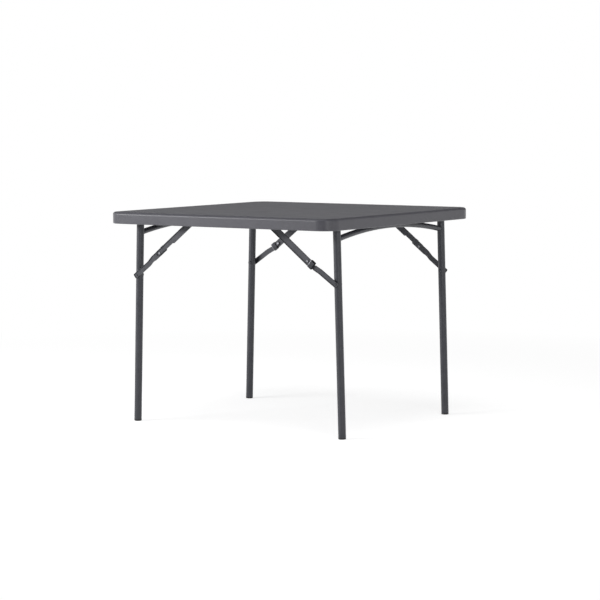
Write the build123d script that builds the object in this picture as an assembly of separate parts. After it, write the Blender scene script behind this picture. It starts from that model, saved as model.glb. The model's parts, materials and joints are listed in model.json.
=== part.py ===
from build123d import *
import os
from math import atan2, cos, degrees, hypot, radians, sin, sqrt, tan

os.makedirs("parts", exist_ok=True)

# Square folding table, open, with its feet on z = 0 and its centre over the origin.
# All lengths are in millimetres. The right leg frame is drawn, on the +X side,
# and the left one is the same frame turned half a turn about the vertical axis.

# Table top
TOP_SIDE = 930.0
TOP_HEIGHT = 743.0
RIM_DEPTH = 40.4
RIM_WIDTH = 24.0
DECK_THICKNESS = 15.0
CORNER_RADIUS = 55.0
TOP_EDGE_RADIUS = 9.0
RIM_EDGE_RADIUS = 3.0
RECESS_DRAFT = 10.0
LEDGE_WIDTH = 8.0
LEDGE_DEPTH = 9.0
LEDGE_CORNER_SHARE = 0.6
DIMPLE_SIDE = 22.0
DIMPLE_DEPTH = 10.0
DIMPLE_DRAFT = 22.0
DIMPLE_PITCH = 78.0
DIMPLE_MARGIN = 8.0

# Leg tubes and their stance
LEG_DIAMETER = 26.2
LEG_WALL = 1.3
FOOT_REACH = 20.7
FRAME_STAGGER = 40.0
FRAME_SIDE_CLEARANCE = 28.1
PIVOT_BELOW_DECK = 16.0
LEG_ABOVE_PIVOT = 8.0

# Cross tube, an arch between the two legs of a frame
CROSS_DIAMETER = 19.0
CROSS_WALL = 1.2
CROSS_DROP = 44.5
CROSS_RISE = 31.2

# Foot caps and the plugs in the upper ends of the legs
CAP_HEIGHT = 6.5
CAP_PLUG_LENGTH = 22.0
CAP_EDGE_RADIUS = 2.5
PLUG_CAP_THICKNESS = 1.5
PLUG_LENGTH = 2.0
PLUG_CLEARANCE = 0.05

# Leg brackets, pressed plates with two ears bent down from a window
PLATE_THICKNESS = 2.0
LEG_BRACKET_LENGTH = 66.0
LEG_BRACKET_WIDTH = 72.0
BRACKET_CLEARANCE = 2.5
LEG_EAR_WIDTH = 25.0
LEG_EAR_CLEARANCE = 0.5
WINDOW_CLEARANCE = 1.5
LEG_EAR_BELOW_PIVOT = 9.0
LEG_EAR_CORNER = 9.0

# Pivot pins and rivets
PIVOT_PIN_DIAMETER = 8.0
PIVOT_HEAD_DIAMETER = 13.0
PIVOT_HEAD_THICKNESS = 1.6
RIVET_DIAMETER = 5.0
RIVET_HEAD_DIAMETER = 8.0
RIVET_HEAD_THICKNESS = 1.9
THIN_HEAD_THICKNESS = 1.1
RUNNING_CLEARANCE = 0.08
HEAD_GAP = 0.1

# Bolt through the leg that carries the lower end of each brace
BRACE_BOLT_BELOW_PIVOT = 193.6
BRACE_BOLT_DIAMETER = 6.0
BRACE_BOLT_HEAD_DIAMETER = 12.0
BRACE_BOLT_HEAD_HEIGHT = 4.0

# Brace links, pressed steel trays that open away from the leg
LINK_SHEET = 1.4
LINK_FLANGE = 1.6
LOWER_LINK_DEPTH = 3.5
UPPER_LINK_DEPTH = 4.0
LAYER_GAP = 0.3
LOWER_LINK_STANDOFF = 3.1
LOWER_LINK_HEIGHT = 18.4
LINK_BOLT_END = 9.5
LINK_CORNER_RADIUS = 3.5
HANGER_EAR_THICKNESS = 2.0

# Plain braces, on the outer leg of each frame
PLAIN_HANGER_SETBACK = 241.0
PLAIN_KNEE_SAG = 0.7
PLAIN_LINK_HEIGHT = 22.5
PLAIN_LINK_END = 13.0
PLAIN_STEP = 4.0
PLAIN_STEP_FROM_KNEE = 73.5
PLAIN_TAIL = 32.0
PLAIN_HEAD_DROP = 9.3
PLAIN_HEAD_END = 38.0
PLAIN_BAR_START = 63.0
PLAIN_BAR_SHIFT = 1.1
PLAIN_WAIST = 1.8
PLAIN_WAIST_LENGTH = 8.0
PLAIN_WAIST_SLOPE = 7.0
STOP_TAB_LENGTH = 13.0
STOP_TAB_THICKNESS = 1.6
STOP_GAP = 0.3
STOP_NOTCH_DEPTH = 0.8
STOP_NOTCH_CLEARANCE = 2.0

# Locking braces, on the inner leg of each frame
RING_HANGER_SETBACK = 254.0
RING_KNEE_SAG = 4.7
RING_LINK_HEIGHT = 24.5
RING_LINK_END = 28.0
NECK_HEIGHT = 13.0
NECK_LENGTH = 30.0
NECK_DIP = 3.2
NECK_TAPER = 4.0
DOGLEG_FROM_KNEE = 60.0
DOGLEG_DIP = 0.4

# Lock ring that slides along the locking brace
RING_LENGTH = 17.5
RING_WALL = 1.2
RING_SIDE_CLEARANCE = 0.4
RING_EDGE_RADIUS = 1.0
RING_FROM_KNEE = 19.8
RING_STOP_FROM_HANGER = 36.0

# Brace hanger brackets
HANGER_BELOW_DECK = 16.0
HANGER_EAR_RADIUS = 9.0
HANGER_PLATE_LENGTH = 54.0
HANGER_PLATE_WIDTH = 27.0

# Countersunk screws that hold the brackets
SCREW_DIAMETER = 4.0
SCREW_HEAD_DIAMETER = 8.0
SCREW_LENGTH = 11.0
SCREW_EDGE = 8.5
SCREW_CLEARANCE = 0.05
OVERRUN = 5.0

# Layers of a brace, as distances out from the leg's outer side
LOWER_WEB_IN = LOWER_LINK_STANDOFF
LOWER_LINK_OUT = LOWER_WEB_IN + LOWER_LINK_DEPTH
UPPER_WEB_IN = LOWER_LINK_OUT + LAYER_GAP
UPPER_LINK_OUT = UPPER_WEB_IN + UPPER_LINK_DEPTH
RING_OUT = UPPER_LINK_OUT + LAYER_GAP + RING_WALL
KNEE_HEAD_IN = LOWER_WEB_IN - HEAD_GAP - THIN_HEAD_THICKNESS
RING_IN = KNEE_HEAD_IN - LAYER_GAP - RING_WALL
HANGER_EAR_IN = UPPER_WEB_IN - LAYER_GAP - HANGER_EAR_THICKNESS

# Heights of the stop above the knee of a plain brace
NOTCH_FLOOR = PLAIN_LINK_HEIGHT / 2 - STOP_NOTCH_DEPTH
STOP_TAB_LOW = NOTCH_FLOOR + STOP_GAP
STOP_TAB_HIGH = STOP_TAB_LOW + STOP_TAB_THICKNESS
STOP_TAB_MIDDLE = -PLAIN_TAIL + LINK_CORNER_RADIUS + STOP_TAB_LENGTH / 2

# Heights and places that follow, with the legs as far out as their brackets fit
RIM_BOTTOM = TOP_HEIGHT - RIM_DEPTH
DECK_UNDERSIDE = TOP_HEIGHT - DECK_THICKNESS
PLATE_UNDERSIDE = DECK_UNDERSIDE - PLATE_THICKNESS
LEG_RADIUS = LEG_DIAMETER / 2
RECESS_HALF = TOP_SIDE / 2 - RIM_WIDTH - LEDGE_WIDTH
LEG_SPREAD_PIVOT = 2 * (RECESS_HALF - BRACKET_CLEARANCE) - LEG_BRACKET_LENGTH
LEG_SPREAD_FLOOR = LEG_SPREAD_PIVOT + 2 * FOOT_REACH
PIVOT_X = LEG_SPREAD_PIVOT / 2
PIVOT_Z = DECK_UNDERSIDE - PIVOT_BELOW_DECK
SPLAY = degrees(atan2((LEG_SPREAD_FLOOR - LEG_SPREAD_PIVOT) / 2, PIVOT_Z))
LEG_LENGTH = hypot((LEG_SPREAD_FLOOR - LEG_SPREAD_PIVOT) / 2, PIVOT_Z)
FOLD_ANGLE = 90 + SPLAY
HANGER_REACH = LEG_RADIUS + HANGER_EAR_IN + HANGER_PLATE_WIDTH
OUTER_LEG_Y = RECESS_HALF - FRAME_SIDE_CLEARANCE - HANGER_REACH
FRAME_WIDTH = 2 * OUTER_LEG_Y - FRAME_STAGGER
INNER_LEG_Y = OUTER_LEG_Y - FRAME_WIDTH
HANGER_Z = DECK_UNDERSIDE - HANGER_BELOW_DECK

SIDES = {"near": (INNER_LEG_Y, -1, "ring"), "far": (OUTER_LEG_Y, 1, "plain")}


def save(name, solid):
    """Write one node."""
    export_step(solid, f"parts/{name}.step")


def upright(outline, y_from, y_to):
    """Extrude an outline drawn in X and Z along Y."""
    high = max(y_from, y_to)
    plane = Plane(origin=(0, high, 0), x_dir=(1, 0, 0), z_dir=(0, -1, 0))
    return extrude(plane * outline, abs(y_to - y_from))


def layer(outline, leg_y, side, near, far):
    """Extrude an outline between two distances out from the leg's outer side."""
    face = leg_y + side * LEG_RADIUS
    return upright(outline, face + side * near, face + side * far)


def rod(radius, leg_y, side, near, far):
    """A round bar along Y between two distances out from the leg's outer side."""
    return layer(Circle(radius), leg_y, side, near, far)


def frame_place():
    """Leg frame coordinates: the origin on the pivot axis, Z up along the legs."""
    return Location((PIVOT_X, 0, PIVOT_Z), (0, -SPLAY, 0))


def bolt_point():
    """Where the brace bolt crosses the leg, in X and Z."""
    lean = radians(SPLAY)
    x = PIVOT_X + BRACE_BOLT_BELOW_PIVOT * sin(lean)
    return x, PIVOT_Z - BRACE_BOLT_BELOW_PIVOT * cos(lean)


def hanger_x(kind):
    """Where the upper end of a brace hangs from the top."""
    setback = {"ring": RING_HANGER_SETBACK, "plain": PLAIN_HANGER_SETBACK}[kind]
    return PIVOT_X - setback


def brace_geometry(kind):
    """Link lengths and angles that let a brace lock open and lie flat when folded.

    With the leg flat, the bolt is at folded_x, and the two links lie in one line
    with the hanger, so the upper link is longer by the gap between them.
    """
    bolt_x, bolt_z = bolt_point()
    top_x = hanger_x(kind)
    sag = {"ring": RING_KNEE_SAG, "plain": PLAIN_KNEE_SAG}[kind]
    span = hypot(bolt_x - top_x, HANGER_Z - bolt_z)
    folded_x = PIVOT_X - BRACE_BOLT_BELOW_PIVOT
    gap = hypot(folded_x - top_x, PIVOT_Z - HANGER_Z)
    along = (span - gap * sqrt(1 + 4 * sag**2 / (span**2 - gap**2))) / 2
    lower = hypot(along, sag)
    upper = lower + gap
    to_top = ((top_x - bolt_x) / span, (HANGER_Z - bolt_z) / span)
    knee_x = bolt_x + along * to_top[0] - sag * to_top[1]
    knee_z = bolt_z + along * to_top[1] + sag * to_top[0]
    upper_angle = degrees(atan2(HANGER_Z - knee_z, knee_x - top_x))
    lower_angle = degrees(atan2(knee_z - bolt_z, bolt_x - knee_x))
    return {
        "upper": upper,
        "lower": lower,
        "knee": (knee_x, knee_z),
        "hanger": (top_x, HANGER_Z),
        "upper_angle": upper_angle,
        "lower_angle": lower_angle,
    }


def upper_place(kind):
    """Upper link coordinates: the origin on the hanger pin, X along the link."""
    brace = brace_geometry(kind)
    x, z = brace["hanger"]
    return Location((x, 0, z), (0, brace["upper_angle"], 0))


def lower_place(kind):
    """Lower link coordinates: the origin on the knee rivet, X towards the leg bolt."""
    brace = brace_geometry(kind)
    x, z = brace["knee"]
    return Location((x, 0, z), (0, brace["lower_angle"], 0))


# Table top

def bracket_zones():
    """Plan rectangles that the brackets cover: centre X and Y, length and width."""
    zones = []
    for leg_y, side, kind in SIDES.values():
        plate_y = leg_y + side * (HANGER_REACH - HANGER_PLATE_WIDTH / 2)
        for turn in (1, -1):
            leg_zone = (turn * PIVOT_X, turn * leg_y, LEG_BRACKET_LENGTH, LEG_BRACKET_WIDTH)
            hanger_zone = (turn * hanger_x(kind), turn * plate_y,
                           HANGER_PLATE_LENGTH, HANGER_PLATE_WIDTH)
            zones += [leg_zone, hanger_zone]
    return zones


def dimple_is_clear(x, y, zones):
    """Whether a dimple stays off every bracket plate."""
    reach = DIMPLE_SIDE / 2 + DIMPLE_MARGIN
    for centre_x, centre_y, length, width in zones:
        if abs(x - centre_x) < length / 2 + reach and abs(y - centre_y) < width / 2 + reach:
            return False
    return True


def dimple_places():
    """Grid of the points where the underside is pressed up to meet the upper skin."""
    count = int((RECESS_HALF - DIMPLE_SIDE) / DIMPLE_PITCH)
    steps = range(-count, count + 1)
    zones = bracket_zones()
    grid = [(i * DIMPLE_PITCH, j * DIMPLE_PITCH) for i in steps for j in steps]
    return [(x, y) for x, y in grid if dimple_is_clear(x, y, zones)]


def table_top():
    """Blow-moulded top: rounded slab, rim, stepped recess, dimples and pilot holes."""
    plan = RectangleRounded(TOP_SIDE, TOP_SIDE, CORNER_RADIUS)
    slab = Pos(0, 0, RIM_BOTTOM) * extrude(plan, RIM_DEPTH)
    slab = fillet(slab.edges().group_by(Axis.Z)[-1], TOP_EDGE_RADIUS)
    mouth = TOP_SIDE - 2 * RIM_WIDTH
    mouth_radius = CORNER_RADIUS - RIM_WIDTH
    mouth_plan = RectangleRounded(mouth, mouth, mouth_radius)
    ledge_z = DECK_UNDERSIDE - LEDGE_DEPTH
    inner_radius = mouth_radius * LEDGE_CORNER_SHARE
    inner_plan = RectangleRounded(2 * RECESS_HALF, 2 * RECESS_HALF, inner_radius)
    slab -= Pos(0, 0, RIM_BOTTOM) * extrude(mouth_plan, ledge_z - RIM_BOTTOM, taper=RECESS_DRAFT)
    slab -= Pos(0, 0, ledge_z) * extrude(inner_plan, LEDGE_DEPTH, taper=RECESS_DRAFT)
    slab = fillet(slab.edges().group_by(Axis.Z)[0], RIM_EDGE_RADIUS)
    dimple = extrude(Rectangle(DIMPLE_SIDE, DIMPLE_SIDE), DIMPLE_DEPTH, taper=DIMPLE_DRAFT)
    slab -= [Pos(x, y, DECK_UNDERSIDE) * dimple for x, y in dimple_places()]
    pilot = Cylinder(SCREW_DIAMETER / 2 + SCREW_CLEARANCE, SCREW_LENGTH,
                     align=(Align.CENTER, Align.CENTER, Align.MIN))
    depth = DECK_UNDERSIDE - PLATE_THICKNESS + SCREW_CLEARANCE
    slab -= [Pos(x, y, depth) * pilot for x, y in screw_places()]
    return slab


# Brackets and screws

def leg_bracket(leg_y, side, kind):
    """Plate under the top with a window for the leg's end and two ears for its pin."""
    plate = Box(LEG_BRACKET_LENGTH, LEG_BRACKET_WIDTH, PLATE_THICKNESS,
                align=(Align.CENTER, Align.CENTER, Align.MIN))
    plate = fillet(plate.edges().filter_by(Axis.Z), SCREW_EDGE / 2)
    ear_gap = LEG_DIAMETER + 2 * LEG_EAR_CLEARANCE
    window_half = hypot(LEG_ABOVE_PIVOT, LEG_RADIUS) + WINDOW_CLEARANCE
    plate -= Box(2 * window_half, ear_gap, 2 * OVERRUN)
    plate = Pos(PIVOT_X, leg_y, PLATE_UNDERSIDE) * plate
    ear_low = PIVOT_Z - LEG_EAR_BELOW_PIVOT
    ear_height = PLATE_UNDERSIDE - ear_low
    ear = Pos(PIVOT_X, ear_low + ear_height / 2) * Rectangle(LEG_EAR_WIDTH, ear_height)
    ear = fillet(ear.vertices().group_by(Axis.Y)[0], min(LEG_EAR_CORNER, ear_height / 2))
    ear -= Pos(PIVOT_X, PIVOT_Z) * Circle(PIVOT_PIN_DIAMETER / 2)
    for way in (-1, 1):
        start = leg_y + way * ear_gap / 2
        plate += upright(ear, start, start + way * PLATE_THICKNESS)
    return plate - [countersink(x, y) for x, y in leg_screw_places(leg_y)]


def leg_screw_places(leg_y):
    """Centres of the four screws of a leg bracket."""
    dx = LEG_BRACKET_LENGTH / 2 - SCREW_EDGE
    dy = LEG_BRACKET_WIDTH / 2 - SCREW_EDGE
    return [(PIVOT_X + i * dx, leg_y + j * dy) for i in (-1, 1) for j in (-1, 1)]


def hanger_bracket(leg_y, side, kind):
    """Angle plate under the top whose one ear holds the upper end of a brace."""
    x = hanger_x(kind)
    ear = Circle(HANGER_EAR_RADIUS)
    height = PLATE_UNDERSIDE - HANGER_Z
    ear += Pos(0, height / 2) * Rectangle(2 * HANGER_EAR_RADIUS, height)
    ear -= Circle(RIVET_DIAMETER / 2)
    ear_out = HANGER_EAR_IN + HANGER_EAR_THICKNESS
    bracket = layer(Pos(x, HANGER_Z) * ear, leg_y, side, HANGER_EAR_IN, ear_out)
    plate = Pos(x, PLATE_UNDERSIDE + PLATE_THICKNESS / 2) * Rectangle(HANGER_PLATE_LENGTH, PLATE_THICKNESS)
    bracket += layer(plate, leg_y, side, HANGER_EAR_IN, HANGER_EAR_IN + HANGER_PLATE_WIDTH)
    return bracket - [countersink(sx, sy) for sx, sy in hanger_screw_places(leg_y, side, kind)]


def hanger_screw_places(leg_y, side, kind):
    """Centres of the two screws of a hanger bracket."""
    y = leg_y + side * (HANGER_REACH - SCREW_EDGE)
    dx = HANGER_PLATE_LENGTH / 2 - SCREW_EDGE
    return [(hanger_x(kind) + i * dx, y) for i in (-1, 1)]


def screw_places():
    """Centres of all the bracket screws, both halves of the table."""
    places = []
    for leg_y, side, kind in SIDES.values():
        places += leg_screw_places(leg_y)
        places += hanger_screw_places(leg_y, side, kind)
    return places + [(-x, -y) for x, y in places]


def countersink(x, y):
    """Cut for a flush screw head and its shank through a bracket plate."""
    low = SCREW_HEAD_DIAMETER / 2 + SCREW_CLEARANCE
    high = SCREW_DIAMETER / 2 + SCREW_CLEARANCE
    cone = Cone(low, high, PLATE_THICKNESS, align=(Align.CENTER, Align.CENTER, Align.MIN))
    return Pos(x, y, PLATE_UNDERSIDE) * cone


def screw(x, y):
    """Countersunk screw, its head flush with the underside of the plate."""
    head = Cone(SCREW_HEAD_DIAMETER / 2, SCREW_DIAMETER / 2, PLATE_THICKNESS,
                align=(Align.CENTER, Align.CENTER, Align.MIN))
    shank = Cylinder(SCREW_DIAMETER / 2, SCREW_LENGTH - SCREW_CLEARANCE,
                     align=(Align.CENTER, Align.CENTER, Align.MIN))
    return Pos(x, y, PLATE_UNDERSIDE) * (head + shank)


# Leg frame

def leg_tube(leg_y, side, kind):
    """Steel tube with a pin hole near its upper end and a bolt hole for the brace."""
    low = -LEG_LENGTH + CAP_HEIGHT
    high = LEG_ABOVE_PIVOT - PLUG_CAP_THICKNESS
    outer = Cylinder(LEG_RADIUS, high - low, align=(Align.CENTER, Align.CENTER, Align.MIN))
    inner = Cylinder(LEG_RADIUS - LEG_WALL, high - low, align=(Align.CENTER, Align.CENTER, Align.MIN))
    tube = Pos(0, leg_y, low) * (outer - inner)
    pin_hole = Circle(PIVOT_PIN_DIAMETER / 2 + RUNNING_CLEARANCE)
    reach = LEG_DIAMETER + OVERRUN
    tube -= upright(pin_hole, leg_y - reach, leg_y + reach)
    bolt_hole = Pos(0, -BRACE_BOLT_BELOW_PIVOT) * Circle(BRACE_BOLT_DIAMETER / 2 + PLUG_CLEARANCE)
    tube -= upright(bolt_hole, leg_y - reach, leg_y + reach)
    return frame_place() * tube


def cross_tube():
    """Arched tube welded between the two legs, its ends shaped to the leg tubes."""
    start = (0, INNER_LEG_Y, -CROSS_DROP)
    crown = (0, (INNER_LEG_Y + OUTER_LEG_Y) / 2, -CROSS_DROP + CROSS_RISE)
    end = (0, OUTER_LEG_Y, -CROSS_DROP)
    path = ThreePointArc(start, crown, end)
    section = Plane(origin=path @ 0, z_dir=path % 0) * Circle(CROSS_DIAMETER / 2)
    bore = Plane(origin=path @ 0, z_dir=path % 0) * Circle(CROSS_DIAMETER / 2 - CROSS_WALL)
    tube = sweep(section, path) - sweep(bore, path)
    for leg_y in (INNER_LEG_Y, OUTER_LEG_Y):
        tube -= Pos(0, leg_y, -CROSS_DROP) * Cylinder(LEG_RADIUS, 4 * CROSS_DIAMETER)
    middle = (INNER_LEG_Y + OUTER_LEG_Y) / 2
    tube = tube.solids().sort_by(lambda piece: abs(piece.center().Y - middle))[0]
    return frame_place() * tube


def foot_cap(leg_y, side, kind):
    """Plastic foot with a plug in the tube, worn flat where it stands on the floor."""
    overlap = LEG_RADIUS * tan(radians(SPLAY))
    foot = Cylinder(LEG_RADIUS, CAP_HEIGHT + overlap, align=(Align.CENTER, Align.CENTER, Align.MIN))
    foot = fillet(foot.edges().group_by(Axis.Z)[0], CAP_EDGE_RADIUS)
    foot = Pos(0, leg_y, -LEG_LENGTH - overlap) * foot
    plug = Cylinder(LEG_RADIUS - LEG_WALL - PLUG_CLEARANCE, CAP_PLUG_LENGTH,
                    align=(Align.CENTER, Align.CENTER, Align.MIN))
    foot += Pos(0, leg_y, -LEG_LENGTH + CAP_HEIGHT) * plug
    foot = frame_place() * foot
    below = Pos(0, 0, -LEG_LENGTH / 2) * Box(2 * TOP_SIDE, 2 * TOP_SIDE, LEG_LENGTH)
    return foot - below


def leg_plug(leg_y, side, kind):
    """Plastic plug that closes the upper end of a leg above its pin."""
    low = LEG_ABOVE_PIVOT - PLUG_CAP_THICKNESS
    lid = Cylinder(LEG_RADIUS, PLUG_CAP_THICKNESS, align=(Align.CENTER, Align.CENTER, Align.MIN))
    stem = Cylinder(LEG_RADIUS - LEG_WALL - PLUG_CLEARANCE, PLUG_LENGTH,
                    align=(Align.CENTER, Align.CENTER, Align.MAX))
    return frame_place() * (Pos(0, leg_y, low) * (lid + stem))


def leg_pivot_pin(leg_y, side, kind):
    """Pin through both ears of a leg bracket, with a head at each end."""
    half = LEG_RADIUS + LEG_EAR_CLEARANCE + PLATE_THICKNESS
    place = Pos(PIVOT_X, PIVOT_Z)
    pin = upright(place * Circle(PIVOT_PIN_DIAMETER / 2), leg_y - half, leg_y + half)
    for way in (-1, 1):
        face = leg_y + way * half
        head = upright(place * Circle(PIVOT_HEAD_DIAMETER / 2), face, face + way * PIVOT_HEAD_THICKNESS)
        pin += head
    return pin


def brace_bolt(leg_y, side, kind):
    """Bolt through the leg, its round head inside and its end flush with the tube outside."""
    centre = Pos(0, -BRACE_BOLT_BELOW_PIVOT)
    bolt = rod_at(centre, BRACE_BOLT_DIAMETER / 2, leg_y, side, -LEG_DIAMETER, -PLUG_CLEARANCE)
    head = rod_at(centre, BRACE_BOLT_HEAD_DIAMETER / 2, leg_y, side,
                  -LEG_DIAMETER - BRACE_BOLT_HEAD_HEIGHT, -LEG_DIAMETER)
    rim = head.edges().filter_by(GeomType.CIRCLE).sort_by(Axis.Y)
    outer_rim = rim[-1] if side < 0 else rim[0]
    head = fillet(outer_rim, BRACE_BOLT_HEAD_HEIGHT / 2)
    return frame_place() * (bolt + head)


def rod_at(place, radius, leg_y, side, near, far):
    """A round bar along Y, at a place in X and Z."""
    return layer(place * Circle(radius), leg_y, side, near, far)


# Braces

def tray(outline, leg_y, side, web_in, depth):
    """A pressed link: a flat web with a flange all round that points out from the leg."""
    link = layer(outline, leg_y, side, web_in, web_in + depth)
    pocket = offset(outline, amount=-LINK_FLANGE)
    return link - layer(pocket, leg_y, side, web_in + LINK_SHEET, web_in + depth + OVERRUN)


def plain_upper_outline(length):
    """Upper link of a plain brace: a bar whose lower edge steps up towards the knee."""
    half = PLAIN_LINK_HEIGHT / 2
    step_x = length - PLAIN_STEP_FROM_KNEE
    end = length + PLAIN_LINK_END
    corner = half - PLAIN_STEP
    points = [
        (0, half),
        (end, half),
        (end, PLAIN_STEP - half),
        (step_x + PLAIN_STEP, PLAIN_STEP - half),
        (step_x, -half),
        (0, -half),
    ]
    body = make_face(Polyline(*points, close=True))
    body = fillet(body.vertices().group_by(Axis.X)[-1], corner)
    notch = Rectangle(STOP_TAB_LENGTH + 2 * STOP_NOTCH_CLEARANCE, 2 * STOP_NOTCH_DEPTH)
    body -= Pos(length + STOP_TAB_MIDDLE, half) * notch
    return body + Circle(half)


def ring_upper_outline(length):
    """Upper link of a locking brace: a straight bar that ends inside the ring."""
    half = RING_LINK_HEIGHT / 2
    bar = Pos((length + RING_LINK_END) / 2, 0) * Rectangle(length + RING_LINK_END, 2 * half)
    bar = fillet(bar.vertices().group_by(Axis.X)[-1], LINK_CORNER_RADIUS)
    return bar + Circle(half)


def upper_link(leg_y, side, kind):
    """Upper link with its hanger hole and its knee rivet hole."""
    length = brace_geometry(kind)["upper"]
    outline = {"ring": ring_upper_outline, "plain": plain_upper_outline}[kind](length)
    link = tray(outline, leg_y, side, UPPER_WEB_IN, UPPER_LINK_DEPTH)
    link -= rod(RIVET_DIAMETER / 2 + RUNNING_CLEARANCE, leg_y, side, 0, UPPER_LINK_OUT + OVERRUN)
    link -= rod_at(Pos(length, 0), RIVET_DIAMETER / 2, leg_y, side, 0, UPPER_LINK_OUT + OVERRUN)
    return upper_place(kind) * link


def plain_lower_outline(length):
    """Lower link of a plain brace: a wide head round the knee, a waist and a straight bar."""
    half = LOWER_LINK_HEIGHT / 2
    end = length + LINK_BOLT_END
    waist_x = PLAIN_HEAD_END + PLAIN_WAIST_LENGTH
    points = [
        (-PLAIN_TAIL, STOP_TAB_HIGH),
        (PLAIN_HEAD_END, STOP_TAB_HIGH),
        (PLAIN_BAR_START, half - PLAIN_BAR_SHIFT),
        (length, half),
        (end, half),
        (end, -half),
        (length, -half),
        (PLAIN_BAR_START, -half - PLAIN_BAR_SHIFT),
        (waist_x, PLAIN_WAIST - PLAIN_HEAD_DROP),
        (PLAIN_HEAD_END, PLAIN_WAIST - PLAIN_HEAD_DROP),
        (PLAIN_HEAD_END - PLAIN_WAIST_SLOPE, -PLAIN_HEAD_DROP),
        (-PLAIN_TAIL, -PLAIN_HEAD_DROP),
    ]
    body = make_face(Polyline(*points, close=True))
    return fillet(body.vertices(), LINK_CORNER_RADIUS)


def ring_lower_outline(length):
    """Lower link of a locking brace: a narrow neck under the ring, then a dogleg."""
    neck = NECK_HEIGHT / 2
    half = LOWER_LINK_HEIGHT / 2
    wide_x = NECK_LENGTH + NECK_TAPER
    end = length + LINK_BOLT_END
    points = [
        (0, neck),
        (NECK_LENGTH, neck - NECK_DIP),
        (wide_x, half - NECK_DIP),
        (DOGLEG_FROM_KNEE, half - DOGLEG_DIP),
        (length, half),
        (end, half),
        (end, -half),
        (length, -half),
        (DOGLEG_FROM_KNEE, -half - DOGLEG_DIP),
        (wide_x, -half - NECK_DIP),
        (NECK_LENGTH, -neck - NECK_DIP),
        (0, -neck),
    ]
    body = make_face(Polyline(*points, close=True))
    body = fillet(body.vertices().group_by(Axis.X)[-1], LINK_CORNER_RADIUS)
    return body + Circle(neck)


def lower_link(leg_y, side, kind):
    """Lower link with its knee hole and its bolt hole, and a stop on the plain brace."""
    brace = brace_geometry(kind)
    length = brace["lower"]
    tilt = brace["lower_angle"] - brace["upper_angle"]
    if kind == "ring":
        link = tray(ring_lower_outline(length), leg_y, side, LOWER_WEB_IN, LOWER_LINK_DEPTH)
    else:
        link = tray(plain_lower_outline(length), leg_y, side, LOWER_WEB_IN, LOWER_LINK_DEPTH)
        link += stop_tab(leg_y, side, -tilt)
    link -= rod(RIVET_DIAMETER / 2 + RUNNING_CLEARANCE, leg_y, side, 0, LOWER_LINK_OUT + OVERRUN)
    link -= rod_at(Pos(length, 0), RIVET_DIAMETER / 2, leg_y, side, 0, LOWER_LINK_OUT + OVERRUN)
    return lower_place(kind) * link


def stop_tab(leg_y, side, tilt):
    """Tab on the tail of the lower link that lies in a notch of the upper link's edge."""
    middle = (STOP_TAB_LOW + STOP_TAB_HIGH) / 2
    tab = Pos(STOP_TAB_MIDDLE, middle) * Rectangle(STOP_TAB_LENGTH, STOP_TAB_THICKNESS)
    return layer(Rotation(0, 0, -tilt) * tab, leg_y, side, LOWER_WEB_IN, UPPER_LINK_OUT)


def knee_rivet(leg_y, side, kind):
    """Rivet fixed in the upper link, on which the lower link turns."""
    radius = RIVET_DIAMETER / 2
    head_radius = RIVET_HEAD_DIAMETER / 2
    shank_in = LOWER_WEB_IN - HEAD_GAP
    floor = UPPER_WEB_IN + LINK_SHEET
    length = brace_geometry(kind)["upper"]
    centre = Pos(length, 0)
    rivet = rod_at(centre, radius, leg_y, side, shank_in, floor)
    rivet += rod_at(centre, head_radius, leg_y, side, shank_in - THIN_HEAD_THICKNESS, shank_in)
    rivet += domed_head(centre, head_radius, leg_y, side, floor)
    return upper_place(kind) * rivet


def domed_head(centre, radius, leg_y, side, floor):
    """A rivet head that stands out from a web, with a rounded rim."""
    head = rod_at(centre, radius, leg_y, side, floor, floor + RIVET_HEAD_THICKNESS)
    rims = head.edges().filter_by(GeomType.CIRCLE).sort_by(Axis.Y)
    return fillet(rims[-1] if side > 0 else rims[0], RIVET_HEAD_THICKNESS / 2)


def link_rivet(leg_y, side, kind):
    """Rivet and spacer in the lower end of the brace, facing the bolt in the leg."""
    centre = Pos(brace_geometry(kind)["lower"], 0)
    floor = LOWER_WEB_IN + LINK_SHEET
    rivet = rod_at(centre, RIVET_DIAMETER / 2, leg_y, side, LOWER_WEB_IN, floor)
    rivet += rod_at(centre, RIVET_HEAD_DIAMETER / 2, leg_y, side, LAYER_GAP, LOWER_WEB_IN)
    rivet += domed_head(centre, RIVET_HEAD_DIAMETER / 2, leg_y, side, floor)
    return lower_place(kind) * rivet


def hanger_pin(leg_y, side, kind):
    """Rivet fixed in the hanger bracket's ear, on which the upper link turns."""
    x, z = brace_geometry(kind)["hanger"]
    centre = Pos(x, z)
    floor = UPPER_WEB_IN + LINK_SHEET + HEAD_GAP
    pin = rod_at(centre, RIVET_DIAMETER / 2, leg_y, side, HANGER_EAR_IN, floor)
    pin += rod_at(centre, RIVET_HEAD_DIAMETER / 2, leg_y, side,
                  HANGER_EAR_IN - THIN_HEAD_THICKNESS, HANGER_EAR_IN)
    return pin + domed_head(centre, RIVET_HEAD_DIAMETER / 2, leg_y, side, floor)


def lock_ring(leg_y, side, kind):
    """Flat steel ring round both links of a locking brace, just past the knee."""
    centre = brace_geometry(kind)["upper"] + RING_FROM_KNEE
    inner_height = RING_LINK_HEIGHT + 2 * RING_SIDE_CLEARANCE
    outer = Pos(centre, 0) * Rectangle(RING_LENGTH, inner_height + 2 * RING_WALL)
    inner = Pos(centre, 0) * Rectangle(RING_LENGTH + OVERRUN, inner_height)
    ring = layer(outer, leg_y, side, RING_IN, RING_OUT)
    ring = fillet(ring.edges().filter_by(Axis.X), RING_EDGE_RADIUS)
    ring -= layer(inner, leg_y, side, RING_IN + RING_WALL, RING_OUT - RING_WALL)
    return upper_place(kind) * ring


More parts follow.
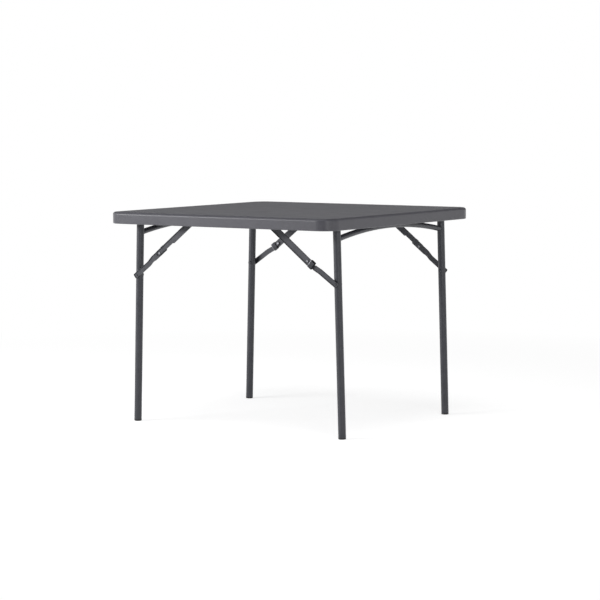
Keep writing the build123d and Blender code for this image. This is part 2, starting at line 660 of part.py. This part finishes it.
LEG_PIECES = {
    "leg_bracket": leg_bracket,
    "hanger_bracket": hanger_bracket,
    "leg_tube": leg_tube,
    "foot_cap": foot_cap,
    "leg_plug": leg_plug,
    "leg_pivot_pin": leg_pivot_pin,
    "brace_bolt": brace_bolt,
    "upper_link": upper_link,
    "lower_link": lower_link,
    "knee_rivet": knee_rivet,
    "link_rivet": link_rivet,
    "hanger_pin": hanger_pin,
}


def write_both(name, end, solid):
    """Write a right-hand piece, and the same piece turned round for the left frame."""
    other_end = {"near": "far", "far": "near", "": ""}[end]
    save("_".join(filter(None, (name, "right", end))), solid)
    save("_".join(filter(None, (name, "left", other_end))), Rotation(0, 0, 180) * solid)


def print_joints():
    """Print the joint places and travels that follow from the sizes."""
    print("leg pivot", round(PIVOT_X, 3), round(PIVOT_Z, 3), "fold", round(FOLD_ANGLE, 3))
    for leg_y, side, kind in SIDES.values():
        brace = brace_geometry(kind)
        knee_turn = 180 + brace["upper_angle"] - brace["lower_angle"]
        print(kind, "leg y", round(leg_y, 3), "hanger", brace["hanger"], "knee", brace["knee"])
        print(kind, "lengths", round(brace["upper"], 3), round(brace["lower"], 3))
        print(kind, "upper turn", round(-brace["upper_angle"], 4), "knee turn", round(knee_turn, 4))
    upper = brace_geometry("ring")["upper"]
    travel = upper + RING_FROM_KNEE - RING_STOP_FROM_HANGER
    print("ring travel", round(travel, 3))


save("table_top", table_top())
save("bracket_screws", Compound(children=[screw(x, y) for x, y in screw_places()]))
write_both("cross_tube", "", cross_tube())
for side_name, (leg_y, side, kind) in SIDES.items():
    for piece_name, build in LEG_PIECES.items():
        write_both(piece_name, side_name, build(leg_y, side, kind))
    if kind == "ring":
        write_both("lock_ring", side_name, lock_ring(leg_y, side, kind))
print_joints()
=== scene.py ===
import json
from math import atan, cos, pi, radians, sin, sqrt

import bmesh
import bpy
from mathutils import Matrix, Vector


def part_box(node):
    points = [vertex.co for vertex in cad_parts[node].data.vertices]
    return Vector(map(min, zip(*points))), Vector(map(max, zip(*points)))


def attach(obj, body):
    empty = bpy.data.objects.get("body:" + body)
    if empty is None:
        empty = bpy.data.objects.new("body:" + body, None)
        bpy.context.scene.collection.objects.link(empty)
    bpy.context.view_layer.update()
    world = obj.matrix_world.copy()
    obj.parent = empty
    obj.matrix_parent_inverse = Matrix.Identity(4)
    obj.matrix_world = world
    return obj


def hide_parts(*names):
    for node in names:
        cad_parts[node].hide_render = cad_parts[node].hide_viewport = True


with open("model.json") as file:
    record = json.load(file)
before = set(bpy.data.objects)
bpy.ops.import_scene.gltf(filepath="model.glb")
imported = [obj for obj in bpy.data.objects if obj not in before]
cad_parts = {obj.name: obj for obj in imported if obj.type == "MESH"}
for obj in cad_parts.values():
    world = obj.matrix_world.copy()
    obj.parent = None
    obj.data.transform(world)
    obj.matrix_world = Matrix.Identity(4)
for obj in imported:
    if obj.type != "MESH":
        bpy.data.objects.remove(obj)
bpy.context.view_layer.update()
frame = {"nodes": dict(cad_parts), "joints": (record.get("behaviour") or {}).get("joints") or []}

# Lengths are in metres, colours in linear light, and the scale of a noise in cells for each metre
WHITE = (1.0, 1.0, 1.0)
EVEN = (1.0, 1.0, 1.0)

# Range of values that most of a noise falls in
NOISE_LOW = 0.35
NOISE_HIGH = 0.65

# Places of the colour sockets in Blender's mix node
MIX_FIRST = 6
MIX_SECOND = 7
MIX_RESULT = 2

# Moulded top
TOP_GREY = (0.103, 0.102, 0.120)
TOP_GREY_DEEP = (0.094, 0.093, 0.109)
TOP_SPECULAR = 0.48
CLOUD_SCALE = 7.0
FLECK_SCALE = 420.0
FLECK_GAIN = 1.12
FLECK_SHARE = 0.35
SCUFF_SCALE = 18.0
SCUFF_STRETCH = (1.0, 3.0, 1.0)
SCUFF_ROUGHNESS = 0.03
WAVE_SCALE = 60.0
WAVE_DEPTH = 0.0003
WAVE_STRENGTH = 0.1
PEBBLE_SCALE = 650.0
PEBBLE_DEPTH = 0.00025
PEBBLE_STRENGTH = 0.5

# The pebbled upper face is rougher than the sides; the rise of the surface normal tells them apart
SIDE_ROUGHNESS = 0.32
FACE_ROUGHNESS = 0.58
SIDE_RISE = 0.05
FACE_RISE = 0.45

# Powder coat
PAINT_GREY = (0.075, 0.077, 0.091)
PAINT_GREY_DEEP = (0.061, 0.063, 0.075)
PAINT_SPECULAR = 0.42
PATCH_SCALE = 30.0
SHEEN_SCALE = 90.0
SHEEN_STRETCH = (1.0, 1.0, 0.3)
SHEEN_GLOSSY = 0.31
SHEEN_DULL = 0.41
TUBE_PEEL_SCALE = 700.0
SHEET_PEEL_SCALE = 800.0
PEEL_DEPTH = 0.00012
PEEL_STRENGTH = 0.5

# The faces of the flat bars look along Y and their edges do not; the edges take a painted shade, darker
# as if in shadow
EDGE_PAINTED_SHADE = (0.020, 0.020, 0.023)
EDGE_FACING = 0.4
FACE_FACING = 0.8

# Caps and plugs
CAP_BLACK = (0.020, 0.020, 0.022)
RUB_GAIN = 2.0
RUB_SCALE = 160.0
RUB_ROUGHNESS_LOW = 0.45
RUB_ROUGHNESS_HIGH = 0.65
CAP_GRAIN_SCALE = 900.0
CAP_GRAIN_DEPTH = 0.0001
CAP_GRAIN_STRENGTH = 0.5

# Zinc plated fasteners
ZINC_LIGHT = (0.30, 0.30, 0.32)
ZINC_DARK = (0.20, 0.20, 0.22)
ZINC_LIGHT_ROUGHNESS = 0.28
ZINC_DARK_ROUGHNESS = 0.42
ZINC_GRAIN_SCALE = 800.0
ZINC_GRAIN_DEPTH = 0.00005
ZINC_GRAIN_STRENGTH = 0.6
TARNISH_SCALE = 240.0

# Lock rings: a dark band with the wall and outer corners of the CAD ring; its left end, toward the key
# lamp, is bare metal with a painted highlight
RING_BARE_HIGHLIGHT = (0.30, 0.30, 0.32)
RING_LIGHT = (0.060, 0.061, 0.067)
RING_DARK = (0.035, 0.036, 0.040)
RING_ROUGHNESS = 0.40
RING_BARE_HIGHLIGHT_ROUGHNESS = 0.50
RING_HIGHLIGHT_START = 0.04
RING_HIGHLIGHT_FULL = 0.12
RING_WALL = 0.0012
RING_CORNER = 0.0022
RING_EASE_LENGTH = 0.0018
RING_EASE_DEPTH = 0.0005
RING_STEPS = 6

# Cross tube: its radius, how far its ends lie under the leg pivot, and the rise of its arch
CROSS_RADIUS = 0.0095
CROSS_DROP = 0.0445
CROSS_RISE = 0.0312

# Weld beads
BEAD_RADIUS = 0.0015
BEAD_RIPPLE = 0.12
BEAD_RIPPLES = 26
BEAD_STATIONS = 6 * BEAD_RIPPLES
BEAD_SIDES = 8

# Floor: it fades to white between two distances from the table's middle
FLOOR_HALF = 20.0
FLOOR_FADE_START = 1.2
FLOOR_FADE_END = 3.0
FLOOR_ALBEDO = (0.82, 0.82, 0.82)
FLOOR_ROUGHNESS = 0.9
FLOOR_LIFT = 0.70

# Room: pale, with a ceiling that darkens between two sines of rise and a dark sector in degrees
AMBIENT = 0.58
CEILING_SHARE = 0.10
CEILING_START = 0.16
CEILING_END = 0.6
DARK_SHARE = 0.05
DARK_HEADING = 7.0
DARK_INNER = 24.0
DARK_OUTER = 38.0

# Lamps, aimed at one point; heading 0 is in front of the table and 90 on its right, in degrees
AIM = Vector((0.0, 0.0, 0.55))
LAMPS = {
    "key": dict(heading=-42, rise=14, distance=4.0, size=(2.0, 0.4), watts=82),
    "right_front": dict(heading=52, rise=10, distance=4.5, size=(1.4, 0.6), watts=22),
    "right_back": dict(heading=90, rise=8, distance=4.5, size=(2.4, 1.2), watts=6),
    "overhead": dict(heading=20, rise=75, distance=3.5, size=(2.0, 2.0), watts=33),
}

# Camera, placed so that the table has the photograph's outline; its turns are in radians
CAMERA_PLACE = Vector((4.2437, -6.2136, 1.1241))
CAMERA_YAW = -0.5956
CAMERA_PITCH = 0.0932
CAMERA_ROLL = -0.0033
CAMERA_LENS_MM = 127.55
SENSOR_MM = 36.0


# Frame helpers

def joint(name):
    """The frame's joint of that name."""
    return next(j for j in frame["joints"] if j["name"] == name)


def box(node):
    """The low and high corners of a node's box."""
    low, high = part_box(node)
    return Vector(low), Vector(high)


# Node helpers

def new_material(name):
    """A new node material, its tree and its shader."""
    material = bpy.data.materials.new(name)
    material.use_nodes = True
    tree = material.node_tree
    return material, tree, tree.nodes["Principled BSDF"]


def feed(tree, socket, value):
    """Link another node's output to a socket, or set the socket to a value."""
    if isinstance(value, bpy.types.NodeSocket):
        tree.links.new(value, socket)
    else:
        socket.default_value = value


def fill(tree, node, **inputs):
    """Feed a node's inputs by name."""
    for name, value in inputs.items():
        feed(tree, node.inputs[name.replace("_", " ")], value)
    return node


def add(tree, kind, **inputs):
    """A node of that kind, with its inputs fed by name."""
    return fill(tree, tree.nodes.new(kind), **inputs)


def maths(tree, operation, *values, kind="ShaderNodeMath"):
    """The result of a maths node on sockets and constants."""
    node = tree.nodes.new(kind)
    node.operation = operation
    for socket, value in zip(node.inputs, values):
        feed(tree, socket, value)
    return node.outputs["Value"]


def mix_shaders(tree, share, first, second):
    """The first shader where the share is 0, the second where it is 1."""
    node = tree.nodes.new("ShaderNodeMixShader")
    for socket, value in zip(node.inputs, (share, first, second)):
        tree.links.new(value, socket)
    return node.outputs["Shader"]


def noise(tree, scale, detail=2.0, stretch=EVEN):
    """Noise that stays fixed to the piece."""
    place = tree.nodes.new("ShaderNodeTexCoord").outputs["Object"]
    sized = add(tree, "ShaderNodeMapping", Vector=place, Scale=stretch).outputs["Vector"]
    return add(tree, "ShaderNodeTexNoise", Vector=sized, Scale=scale, Detail=detail).outputs["Fac"]


def spread(tree, value, low=0.0, high=1.0, from_low=NOISE_LOW, from_high=NOISE_HIGH):
    """Stretch a value, a noise if nothing else is said, to a new range."""
    ends = dict(From_Min=from_low, From_Max=from_high, To_Min=low, To_Max=high)
    return add(tree, "ShaderNodeMapRange", Value=value, **ends).outputs["Result"]


def facing(tree, axis):
    """How far the surface looks along an axis of its piece, from -1 to 1."""
    normal = tree.nodes.new("ShaderNodeTexCoord").outputs["Normal"]
    return add(tree, "ShaderNodeSeparateXYZ", Vector=normal).outputs[axis]


def scaled(colour, share):
    """A colour made lighter or darker."""
    return tuple(share * part for part in colour)


def blend_colours(tree, share, first, second):
    """The first colour where the share is 0, the second where it is 1."""
    node = tree.nodes.new("ShaderNodeMix")
    node.data_type = "RGBA"
    for place, colour in ((MIX_FIRST, first), (MIX_SECOND, second)):
        feed(tree, node.inputs[place], (*colour, 1.0) if isinstance(colour, tuple) else colour)
    tree.links.new(share, node.inputs["Factor"])
    return node.outputs[MIX_RESULT]


def bumps(tree, shader, *layers):
    """Stack bumps on the shader; each layer is a height, its depth and its strength."""
    below = {}
    for height, depth, strength in layers:
        node = add(tree, "ShaderNodeBump", Height=height, Distance=depth, Strength=strength, **below)
        below = {"Normal": node.outputs["Normal"]}
    fill(tree, shader, **below)


# Materials

def moulded_plastic():
    """Blow-moulded table top: fine pebbled skin, faint flow clouds and scuffs."""
    material, tree, shader = new_material("moulded_top")
    clouds = spread(tree, noise(tree, CLOUD_SCALE, detail=3.0))
    body = blend_colours(tree, clouds, TOP_GREY_DEEP, TOP_GREY)
    flecks = maths(tree, "MULTIPLY", spread(tree, noise(tree, FLECK_SCALE)), FLECK_SHARE)
    colour = blend_colours(tree, flecks, body, scaled(TOP_GREY, FLECK_GAIN))
    marks = noise(tree, SCUFF_SCALE, detail=6.0, stretch=SCUFF_STRETCH)
    scuffs = spread(tree, marks, -SCUFF_ROUGHNESS, SCUFF_ROUGHNESS)
    skin = spread(tree, facing(tree, "Z"), SIDE_ROUGHNESS, FACE_ROUGHNESS, SIDE_RISE, FACE_RISE)
    rough = maths(tree, "ADD", skin, scuffs)
    fill(tree, shader, Base_Color=colour, Roughness=rough, Specular_IOR_Level=TOP_SPECULAR)
    waves = (noise(tree, WAVE_SCALE), WAVE_DEPTH, WAVE_STRENGTH)
    pebbles = (noise(tree, PEBBLE_SCALE, detail=4.0), PEBBLE_DEPTH, PEBBLE_STRENGTH)
    bumps(tree, shader, waves, pebbles)
    return material


def powder_coat(name, peel_scale, painted_edge_shade=False):
    """Powder-coated steel: grey with orange peel and a soft sheen; on bars the edges get a painted shade.
    """
    material, tree, shader = new_material(name)
    patches = spread(tree, noise(tree, PATCH_SCALE, detail=3.0))
    colour = blend_colours(tree, patches, PAINT_GREY_DEEP, PAINT_GREY)
    # Painted shade: on bars the edges that don't look along Y are darkened as if in shadow
    if painted_edge_shade:
        sideways = maths(tree, "ABSOLUTE", facing(tree, "Y"))
        face = spread(tree, sideways, from_low=EDGE_FACING, from_high=FACE_FACING)
        colour = blend_colours(tree, face, EDGE_PAINTED_SHADE, colour)
    streaks = noise(tree, SHEEN_SCALE, detail=4.0, stretch=SHEEN_STRETCH)
    sheen = spread(tree, streaks, SHEEN_GLOSSY, SHEEN_DULL)
    fill(tree, shader, Base_Color=colour, Roughness=sheen, Specular_IOR_Level=PAINT_SPECULAR)
    bumps(tree, shader, (noise(tree, peel_scale, detail=3.0), PEEL_DEPTH, PEEL_STRENGTH))
    return material


def cap_plastic():
    """Black plastic of the feet and leg plugs, rubbed dull."""
    material, tree, shader = new_material("cap_plastic")
    rub = spread(tree, noise(tree, RUB_SCALE, detail=5.0))
    colour = blend_colours(tree, rub, CAP_BLACK, scaled(CAP_BLACK, RUB_GAIN))
    rough = spread(tree, rub, RUB_ROUGHNESS_LOW, RUB_ROUGHNESS_HIGH, 0.0, 1.0)
    fill(tree, shader, Base_Color=colour, Roughness=rough)
    bumps(tree, shader, (noise(tree, CAP_GRAIN_SCALE), CAP_GRAIN_DEPTH, CAP_GRAIN_STRENGTH))
    return material


def zinc_plate():
    """Zinc plated fasteners, clouded by faint tarnish."""
    material, tree, shader = new_material("zinc_fastener")
    bright = spread(tree, noise(tree, TARNISH_SCALE, detail=4.0))
    colour = blend_colours(tree, bright, ZINC_DARK, ZINC_LIGHT)
    rough = spread(tree, bright, ZINC_DARK_ROUGHNESS, ZINC_LIGHT_ROUGHNESS, 0.0, 1.0)
    fill(tree, shader, Base_Color=colour, Roughness=rough, Metallic=1.0)
    bumps(tree, shader, (noise(tree, ZINC_GRAIN_SCALE), ZINC_GRAIN_DEPTH, ZINC_GRAIN_STRENGTH))
    return material


def ring_finish(name, along):
    """Dark steel band; where its left end is eased, bare metal with a painted highlight on the end toward
    the key lamp.
    """
    material, tree, shader = new_material(name)
    leftward = along if along.x < 0 else -along
    normal = tree.nodes.new("ShaderNodeTexCoord").outputs["Normal"]
    turn = maths(tree, "DOT_PRODUCT", normal, leftward, kind="ShaderNodeVectorMath")
    # Painted highlight: only the end facing left, toward the key lamp, gets the light bare colour
    bare_highlight = spread(tree, turn, from_low=RING_HIGHLIGHT_START, from_high=RING_HIGHLIGHT_FULL)
    bright = spread(tree, noise(tree, TARNISH_SCALE, detail=4.0))
    band = blend_colours(tree, bright, RING_DARK, RING_LIGHT)
    colour = blend_colours(tree, bare_highlight, band, RING_BARE_HIGHLIGHT)
    rough = spread(tree, bare_highlight, RING_ROUGHNESS, RING_BARE_HIGHLIGHT_ROUGHNESS, 0.0, 1.0)
    fill(tree, shader, Base_Color=colour, Roughness=rough, Metallic=1.0)
    return material


def dress(prefixes, material):
    """Give a material to every CAD node whose name starts with one of the prefixes."""
    for name, node in frame["nodes"].items():
        if name.startswith(prefixes):
            node.data.materials.clear()
            node.data.materials.append(material)


def dress_all():
    """Every visible CAD piece gets its finish."""
    tube = powder_coat("painted_tube", TUBE_PEEL_SCALE)
    link = powder_coat("painted_link", SHEET_PEEL_SCALE, painted_edge_shade=True)
    bracket = powder_coat("painted_bracket", SHEET_PEEL_SCALE)
    dress(("table_top",), moulded_plastic())
    dress(("leg_tube", "cross_tube", "brace_bolt"), tube)
    dress(("upper_link", "lower_link", "link_rivet"), link)
    dress(("leg_bracket", "hanger_bracket"), bracket)
    dress(("foot_cap", "leg_plug"), cap_plastic())
    dress(("bracket_screws", "leg_pivot_pin", "knee_rivet", "hanger_pin"), zinc_plate())


# Added meshes

def add_mesh(name, verts, faces, material):
    """A smooth shaded piece with its faces turned outward."""
    mesh = bpy.data.meshes.new(name)
    mesh.from_pydata(verts, [], faces)
    shell = bmesh.new()
    shell.from_mesh(mesh)
    bmesh.ops.recalc_face_normals(shell, faces=shell.faces)
    for face in shell.faces:
        face.smooth = True
    shell.to_mesh(mesh)
    shell.free()
    mesh.materials.append(material)
    piece = bpy.data.objects.new(name, mesh)
    bpy.context.scene.collection.objects.link(piece)
    return piece


def closed_faces(loops, points, first=0):
    """Faces between rings of points, each ring and the row of rings closed."""
    faces = []
    for loop in range(loops):
        a = first + loop * points
        b = first + (loop + 1) % loops * points
        for j in range(points):
            k = (j + 1) % points
            faces.append((a + j, a + k, b + k, b + j))
    return faces


# Lock rings

def rounded_rectangle(half_width, half_height, corner):
    """Points round a rectangle whose corners are quarter ellipses."""
    wide, high = corner
    points = []
    for turn, (x, y) in enumerate(((1, 1), (-1, 1), (-1, -1), (1, -1))):
        for step in range(RING_STEPS + 1):
            angle = pi / 2 * (turn + step / RING_STEPS)
            across = x * (half_width - wide) + wide * cos(angle)
            upward = y * (half_height - high) + high * sin(angle)
            points.append((across, upward))
    return points


def lock_ring(corner):
    """Band of flat steel with rounded cut ends; stands for the plain-edged CAD ring."""
    node = f"lock_ring_{corner}"
    low, high = box(node)
    size = high - low
    along = Vector(joint(f"ring_slide_{corner}")["axis"]).normalized()
    across = Vector((0, 1, 0))
    upward = along.cross(across)
    # The box of a tilted rectangle gives its length and height
    run = abs(along.x)
    drop = abs(along.z)
    length = (size.x * run - size.z * drop) / (run * run - drop * drop)
    height = (size.z * run - size.x * drop) / (run * run - drop * drop)
    wall = rounded_rectangle(length / 2, RING_WALL / 2, (RING_EASE_LENGTH, RING_EASE_DEPTH))
    verts = []
    for shift, swell in wall:
        radius = RING_CORNER - RING_WALL / 2 + swell
        half_width = (size.y - RING_WALL) / 2 + swell
        half_height = (height - RING_WALL) / 2 + swell
        band = rounded_rectangle(half_width, half_height, (radius, radius))
        centre = (low + high) / 2 + shift * along
        verts += [centre + y * across + z * upward for y, z in band]
    faces = closed_faces(len(wall), len(verts) // len(wall))
    ring = add_mesh(f"ring_band_{corner}", verts, faces, ring_finish(f"ring_{corner}", along))
    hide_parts(node)
    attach(ring, f"lock_ring_body_{corner}")


def fit_lock_rings():
    """One band on each locking brace."""
    for name in frame["nodes"]:
        if name.startswith("lock_ring_"):
            lock_ring(name.removeprefix("lock_ring_"))


# Weld beads, worked out on the right leg frame; the left one is the same turned half round

def leg_line(corner):
    """The place of a leg tube along Y, and its radius."""
    low, high = box(f"leg_tube_{corner}")
    return (low.y + high.y) / 2, (high.y - low.y) / 2


def arch_lean():
    """The slope of the cross tube's arch where it meets the legs."""
    near, _ = leg_line("right_near")
    far, _ = leg_line("right_far")
    return 2 * atan(2 * CROSS_RISE / (far - near))


def seam_point(angle, leg_radius, lean, inward):
    """Where the cross tube's skin meets the leg's, from the leg's centre line, in the leg frame."""
    x = CROSS_RADIUS * cos(angle)
    y = sqrt(leg_radius ** 2 - x ** 2)
    skin = CROSS_RADIUS * sin(angle)
    along = (y + skin * sin(lean)) / cos(lean)
    return Vector((x, inward * y, along * sin(lean) + skin * cos(lean) - CROSS_DROP))


def to_table(point, leg_y, turn):
    """From the leg frame to the open table."""
    hinge = joint("right_legs_fold")
    pivot = Vector(hinge["pos_m"])
    splay = radians(hinge["range_deg"][1] - 90)
    x = pivot.x + point.x * cos(splay) - point.z * sin(splay)
    z = pivot.z + point.x * sin(splay) + point.z * cos(splay)
    return Vector((turn * x, turn * (leg_y + point.y), z))


def bead_points(leg_y, leg_radius, inward, turn):
    """Rings of points round a rippled bead along one seam."""
    lean = arch_lean()
    step = 2 * pi / BEAD_STATIONS
    points = []
    for station in range(BEAD_STATIONS):
        angle = station * step
        before, centre, after = (
            seam_point(angle + shift, leg_radius, lean, inward) for shift in (-step, 0, step)
        )
        forward = (after - before).normalized()
        side = forward.cross(Vector((0, 1, 0))).normalized()
        lift = forward.cross(side)
        radius = BEAD_RADIUS * (1 + BEAD_RIPPLE * cos(BEAD_RIPPLES * angle))
        for k in range(BEAD_SIDES):
            spin = 2 * pi * k / BEAD_SIDES
            edge = radius * (cos(spin) * side + sin(spin) * lift)
            points.append(to_table(centre + edge, leg_y, turn))
    return points


def add_weld_beads():
    """Beads at both ends of each cross tube."""
    for side, turn in (("right", 1), ("left", -1)):
        verts = []
        faces = []
        for corner, inward in (("right_near", 1), ("right_far", -1)):
            faces += closed_faces(BEAD_STATIONS, BEAD_SIDES, first=len(verts))
            verts += bead_points(*leg_line(corner), inward, turn)
        beads = add_mesh(f"weld_beads_{side}", verts, faces, bpy.data.materials["painted_tube"])
        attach(beads, f"{side}_leg_frame")


# Stage

def background_rays(tree):
    """1 for rays that show the background: camera, glossy and transmission rays."""
    rays = tree.nodes.new("ShaderNodeLightPath").outputs
    mirrored = maths(tree, "MAXIMUM", rays["Is Glossy Ray"], rays["Is Transmission Ray"])
    return maths(tree, "MAXIMUM", rays["Is Camera Ray"], mirrored)


def floor_material():
    """Pale and lit near the table, plain white farther out."""
    material, tree, shader = new_material("studio_floor")
    fill(tree, shader, Base_Color=(*FLOOR_ALBEDO, 1.0), Roughness=FLOOR_ROUGHNESS, Specular_IOR_Level=0.0)
    pale = shader.outputs["BSDF"]
    white = add(tree, "ShaderNodeEmission", Color=(*WHITE, 1.0), Strength=1.0).outputs["Emission"]
    lift = add(tree, "ShaderNodeEmission", Color=(*WHITE, 1.0), Strength=FLOOR_LIFT).outputs["Emission"]
    lit = tree.nodes.new("ShaderNodeAddShader")
    tree.links.new(pale, lit.inputs[0])
    tree.links.new(lift, lit.inputs[1])
    place = tree.nodes.new("ShaderNodeTexCoord").outputs["Object"]
    reach = maths(tree, "LENGTH", place, kind="ShaderNodeVectorMath")
    fade = spread(tree, reach, from_low=FLOOR_FADE_START, from_high=FLOOR_FADE_END)
    seen = mix_shaders(tree, fade, lit.outputs["Shader"], white)
    surface = mix_shaders(tree, background_rays(tree), pale, seen)
    tree.links.new(surface, tree.nodes["Material Output"].inputs["Surface"])
    return material


def lay_floor():
    """A pale floor that fades to the white background and keeps the table's shadow."""
    mesh = bpy.data.meshes.new("studio_floor")
    corners = [(-1, -1), (1, -1), (1, 1), (-1, 1)]
    verts = [(x * FLOOR_HALF, y * FLOOR_HALF, 0.0) for x, y in corners]
    mesh.from_pydata(verts, [], [(0, 1, 2, 3)])
    floor = bpy.data.objects.new("studio_floor", mesh)
    bpy.context.scene.collection.objects.link(floor)
    mesh.materials.append(floor_material())


# Lights

def heading_way(heading, rise):
    """The direction of a heading and a rise."""
    level = cos(radians(rise))
    right = sin(radians(heading)) * level
    back = -cos(radians(heading)) * level
    return Vector((right, back, sin(radians(rise))))


def light_world():
    """White to the camera; to the table a pale room with a dark ceiling and a dark sector in front."""
    world = bpy.data.worlds.new("studio")
    bpy.context.scene.world = world
    world.use_nodes = True
    tree = world.node_tree
    tree.nodes.clear()
    way = tree.nodes.new("ShaderNodeTexCoord").outputs["Generated"]
    rise = add(tree, "ShaderNodeSeparateXYZ", Vector=way).outputs["Z"]
    ceiling = spread(tree, rise, from_low=CEILING_START, from_high=CEILING_END)
    room = blend_colours(tree, ceiling, WHITE, scaled(WHITE, CEILING_SHARE))
    sector = heading_way(DARK_HEADING, 0.0)
    toward = maths(tree, "DOT_PRODUCT", way, sector, kind="ShaderNodeVectorMath")
    outer = cos(radians(DARK_OUTER))
    inner = cos(radians(DARK_INNER))
    dark = spread(tree, toward, from_low=outer, from_high=inner)
    shade = blend_colours(tree, dark, room, scaled(WHITE, DARK_SHARE))
    ambient = add(tree, "ShaderNodeBackground", Color=shade, Strength=AMBIENT).outputs["Background"]
    mirrored = add(tree, "ShaderNodeBackground", Color=shade, Strength=1.0).outputs["Background"]
    white = add(tree, "ShaderNodeBackground", Color=(*WHITE, 1.0), Strength=1.0).outputs["Background"]
    seen_by_table = mix_shaders(tree, background_rays(tree), ambient, mirrored)
    camera_ray = tree.nodes.new("ShaderNodeLightPath").outputs["Is Camera Ray"]
    surface = mix_shaders(tree, camera_ray, seen_by_table, white)
    tree.links.new(surface, tree.nodes.new("ShaderNodeOutputWorld").inputs["Surface"])


def soft_light(name, heading, rise, distance, size, watts):
    """A rectangular lamp aimed at the table."""
    lamp = bpy.data.lights.new(name, "AREA")
    lamp.shape = "RECTANGLE"
    lamp.size, lamp.size_y = size
    lamp.energy = watts
    light = bpy.data.objects.new(name, lamp)
    way = heading_way(heading, rise)
    light.location = AIM + distance * way
    light.rotation_mode = "QUATERNION"
    light.rotation_quaternion = way.to_track_quat("Z", "Y")
    bpy.context.scene.collection.objects.link(light)


# Camera

def place_camera():
    """The photograph's camera."""
    level = cos(CAMERA_PITCH)
    ahead = Vector((sin(CAMERA_YAW) * level, cos(CAMERA_YAW) * level, -sin(CAMERA_PITCH)))
    side = ahead.cross(Vector((0, 0, 1))).normalized()
    up = side.cross(ahead)
    turned_side = cos(CAMERA_ROLL) * side + sin(CAMERA_ROLL) * up
    turned_up = cos(CAMERA_ROLL) * up - sin(CAMERA_ROLL) * side
    camera = bpy.data.objects.new("camera", bpy.data.cameras.new("camera"))
    axes = Matrix((turned_side, turned_up, -ahead)).transposed()
    camera.matrix_world = Matrix.Translation(CAMERA_PLACE) @ axes.to_4x4()
    camera.data.lens = CAMERA_LENS_MM
    camera.data.sensor_width = SENSOR_MM
    bpy.context.scene.collection.objects.link(camera)
    bpy.context.scene.camera = camera


dress_all()
fit_lock_rings()
add_weld_beads()
lay_floor()
light_world()
for name, lamp in LAMPS.items():
    soft_light(name, **lamp)
place_camera()
bpy.context.scene.view_settings.view_transform = "Standard"
